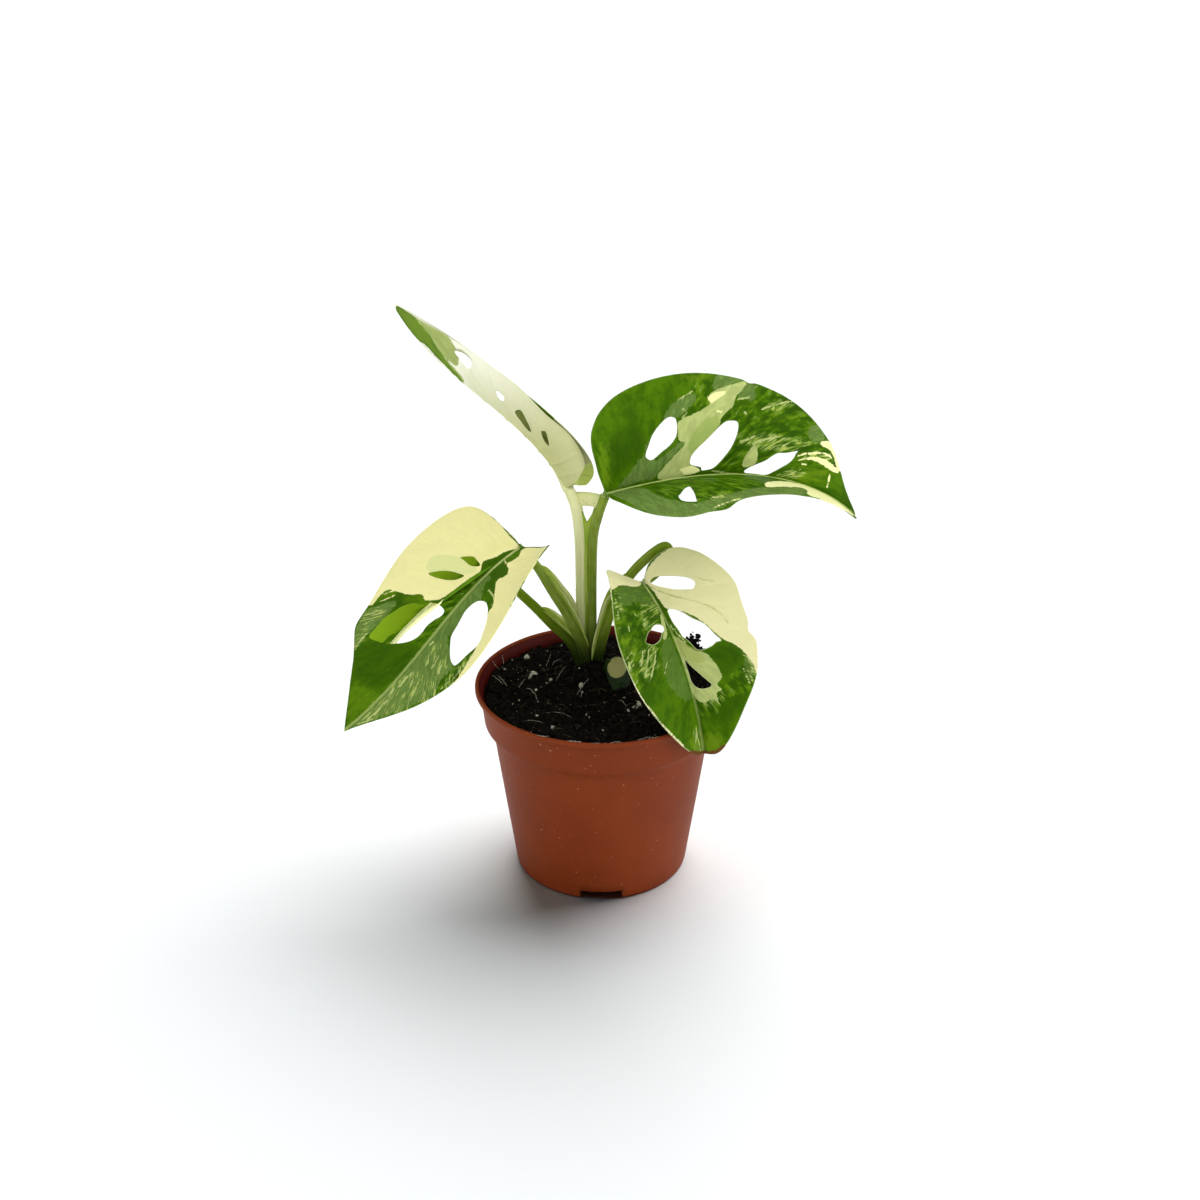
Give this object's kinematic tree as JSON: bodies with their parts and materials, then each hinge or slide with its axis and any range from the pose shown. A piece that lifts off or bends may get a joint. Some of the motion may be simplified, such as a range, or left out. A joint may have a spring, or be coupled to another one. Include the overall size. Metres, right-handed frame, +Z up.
{
  "type": "potted plant",
  "caption": "Young variegated monstera adansonii with holed green and cream leaves, standing in soil in a terracotta-coloured plastic nursery pot.",
  "frame": {"origin": "centre of the pot's underside, on the surface it stands on", "axes": "+Z up along the pot's axis; -Y is the front of the plant, as the picture shows it; +X to the right from there"},
  "size_m": [0.2378, 0.1467, 0.2778],
  "materials": {
    "pot_plastic": "matte",
    "soil": "matte",
    "stem": "satin",
    "leaf_green": "satin",
    "leaf_cream": "satin",
    "leaf_mixed": "satin"
  },
  "bodies": {
    "root": {"pot": "pot_plastic", "soil": "soil", "stems": "stem", "leaf_a": "leaf_green", "leaf_b": "leaf_cream", "leaf_c": "leaf_mixed", "leaf_d": "leaf_mixed", "leaf_e": "leaf_green"}
  },
  "joints": []
}
